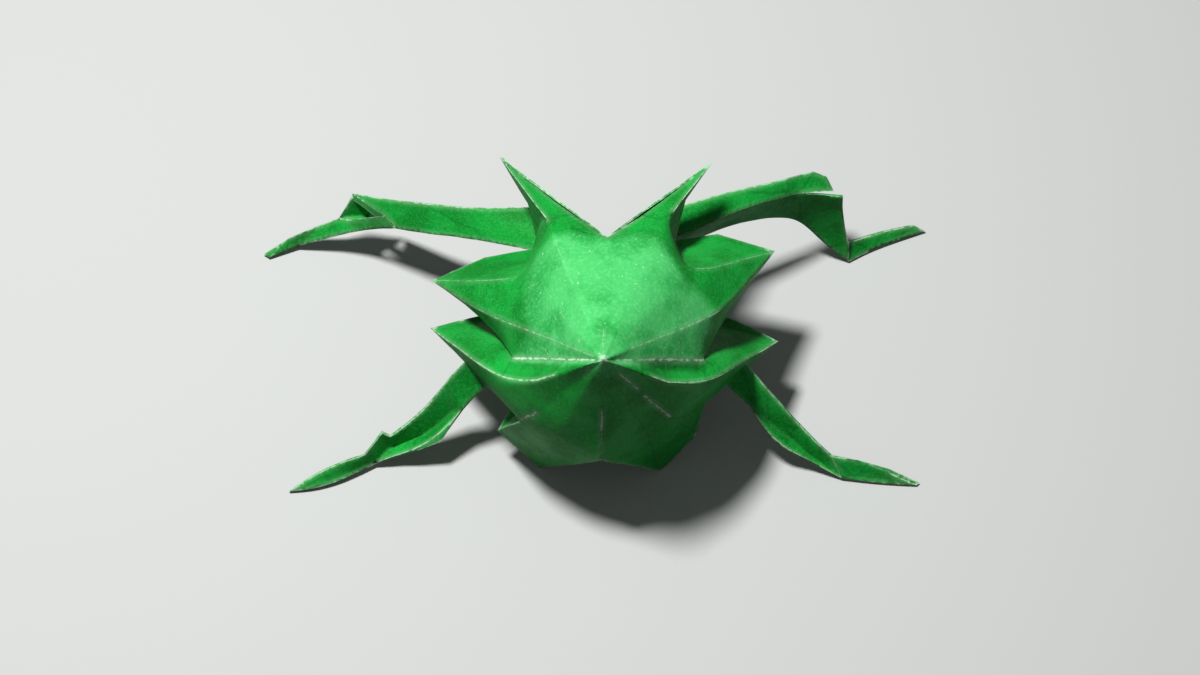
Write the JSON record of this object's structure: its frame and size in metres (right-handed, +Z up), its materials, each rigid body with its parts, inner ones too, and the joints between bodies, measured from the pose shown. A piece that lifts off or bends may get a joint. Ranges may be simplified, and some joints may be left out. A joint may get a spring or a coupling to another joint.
{
  "type": "origami frog",
  "caption": "Blown-up origami frog folded from one square sheet of green paper, with pointed horns, side fins, bent thin legs and worn pale creases.",
  "frame": {"origin": "centre of the bounding box at the level of the surface that the frog stands on", "axes": "+X from the frog's left feet in the front view to its right feet, along the span of the legs; +Y from the nose back to the hind feet; +Z up"},
  "size_m": [0.1298, 0.0632, 0.0564],
  "materials": {
    "green_paper": "uncoated, fine grain, rubbed white along the creases and at the tips"
  },
  "bodies": {
    "root": {"folded_sheet": "green_paper"}
  },
  "joints": []
}
